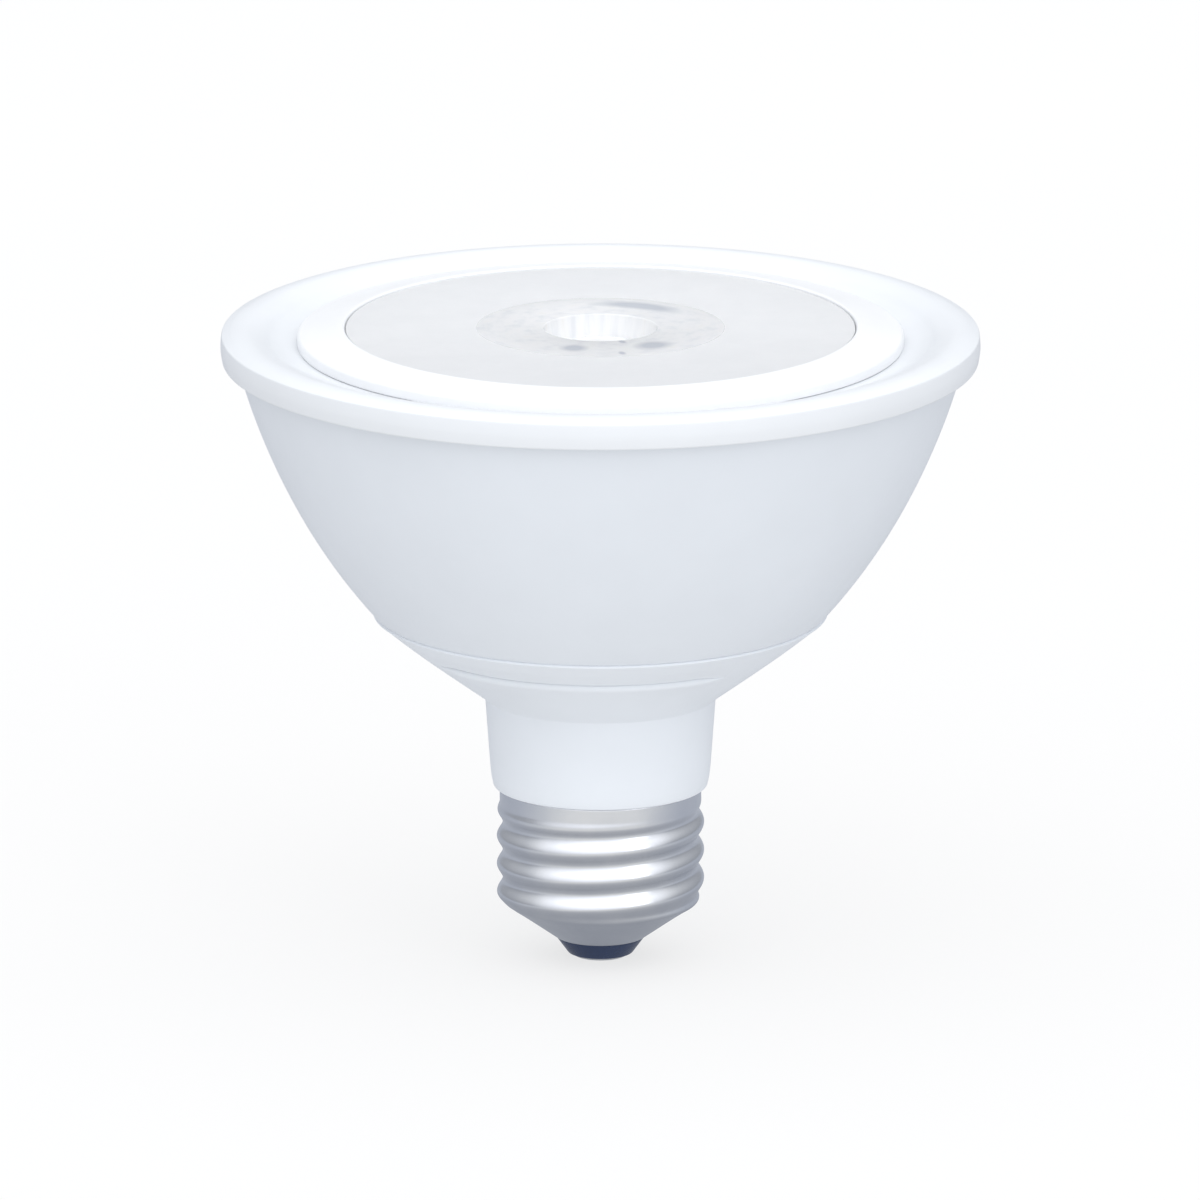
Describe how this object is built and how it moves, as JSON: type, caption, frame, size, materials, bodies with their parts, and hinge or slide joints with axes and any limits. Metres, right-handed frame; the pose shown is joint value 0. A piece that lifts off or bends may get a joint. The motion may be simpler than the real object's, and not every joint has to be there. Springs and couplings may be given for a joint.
{
  "type": "par spotlight bulb",
  "caption": "White LED reflector spotlight bulb with a flared body, a vented neck cone, a banded front rim, a frosted front lens with a clear centre optic and a medium screw base.",
  "frame": {"origin": "centre of the contact button's flat underside, on the lamp's axis", "axes": "+Z along the lamp's axis from the screw base towards the lens, -Y towards the side that the picture shows"},
  "size_m": [0.095, 0.095, 0.0815],
  "materials": {
    "nickel": "satin nickel plate on rolled brass",
    "insulator_black": "smooth black glass-like insulator",
    "contact_metal": "tinned contact",
    "white_plastic": "fine satin bluish white",
    "white_rim": "semi-gloss white",
    "lens_acrylic": "frosted plate, clear polished centre",
    "gasket_silicone": "soft silicone",
    "sink_aluminium": "die-cast, plain",
    "screw_steel": "zinc plated",
    "thermal_silicone": "soft grey pad",
    "cob_ceramic": "white ceramic",
    "phosphor": "yellow silicone",
    "holder_white": "white moulding",
    "board_laminate": "green laminate",
    "capacitor_sleeve": "shrink sleeve",
    "film_red": "dipped",
    "ferrite": "matt grey ferrite",
    "package_black": "moulded black",
    "winding_tape": "yellow film tape",
    "resistor_green": "lacquered",
    "varistor_blue": "dipped",
    "wire_black": "insulated",
    "wire_white": "insulated",
    "wire_red": "insulated"
  },
  "bodies": {
    "root": {"screw_shell": "nickel", "base_insulator": "insulator_black", "centre_contact": "contact_metal", "driver_case": "white_plastic", "outer_housing": "white_plastic", "front_rim": "white_rim", "lens_ring": "white_rim", "lens": "lens_acrylic", "lens_gasket": "gasket_silicone", "heat_sink": "sink_aluminium", "heat_sink_screws": "screw_steel", "thermal_pad": "thermal_silicone", "cob_board": "cob_ceramic", "cob_phosphor": "phosphor", "cob_holder": "holder_white", "cob_holder_screws": "screw_steel", "driver_cover": "white_plastic", "driver_board": "board_laminate", "bulk_capacitor": "capacitor_sleeve", "output_capacitor": "capacitor_sleeve", "film_capacitor": "film_red", "output_choke": "ferrite", "transformer_core": "ferrite", "transformer_bobbin": "package_black", "transformer_winding": "winding_tape", "fuse_resistor": "resistor_green", "varistor": "varistor_blue", "bridge_rectifier": "package_black", "driver_chip": "package_black", "switching_transistor": "package_black", "chip_resistors": "package_black", "line_wire": "wire_black", "neutral_wire": "wire_white", "led_wire_positive": "wire_red", "led_wire_negative": "wire_black"}
  },
  "joints": []
}
